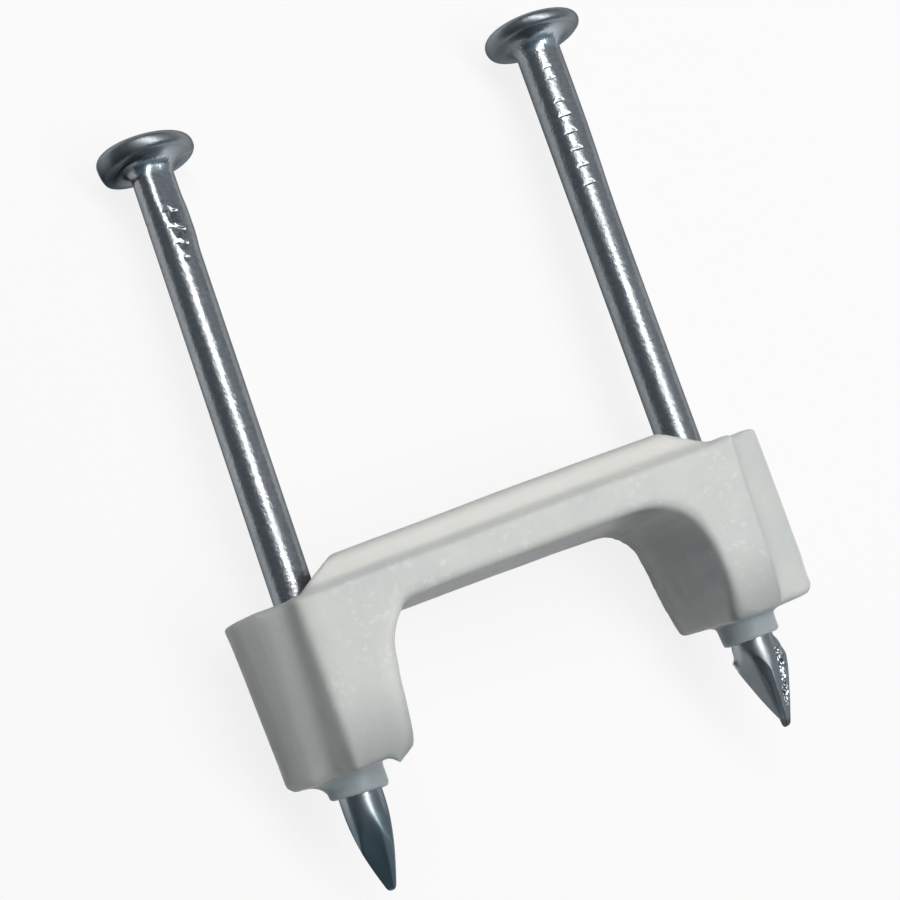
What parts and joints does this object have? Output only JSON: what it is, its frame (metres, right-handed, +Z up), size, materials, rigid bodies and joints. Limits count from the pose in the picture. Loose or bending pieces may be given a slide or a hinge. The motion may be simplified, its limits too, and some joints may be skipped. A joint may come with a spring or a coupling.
{
  "type": "cable staple",
  "caption": "Plastic saddle that straddles a flat or round cable, with a steel nail standing through a round boss at each end, not yet driven.",
  "frame": {"origin": "centre of the footprint, on the surface that the staple lies on", "axes": "+Y from the nail points towards the nail heads, +Z up from the surface, +X along the bridge; the staple lies on its back plate and both head rims"},
  "size_m": [0.024, 0.0324, 0.0084],
  "materials": {
    "saddle_plastic": "moulded natural white polyethylene, satin",
    "zinc_plated_steel": "bright zinc plate with a blue-grey cast, drawn wire"
  },
  "bodies": {
    "saddle": {"saddle": "saddle_plastic"},
    "nail_left": {"nail_left": "zinc_plated_steel"},
    "nail_right": {"nail_right": "zinc_plated_steel"}
  },
  "joints": [
    {"name": "nail_left_drive", "type": "slide", "parent": "saddle", "child": "nail_left", "axis": [-0.0384, -0.9953, 0.0892], "range_m": [0, 0.019]},
    {"name": "nail_right_drive", "type": "slide", "parent": "saddle", "child": "nail_right", "axis": [-0.0384, -0.9953, 0.0892], "range_m": [0, 0.019]}
  ]
}
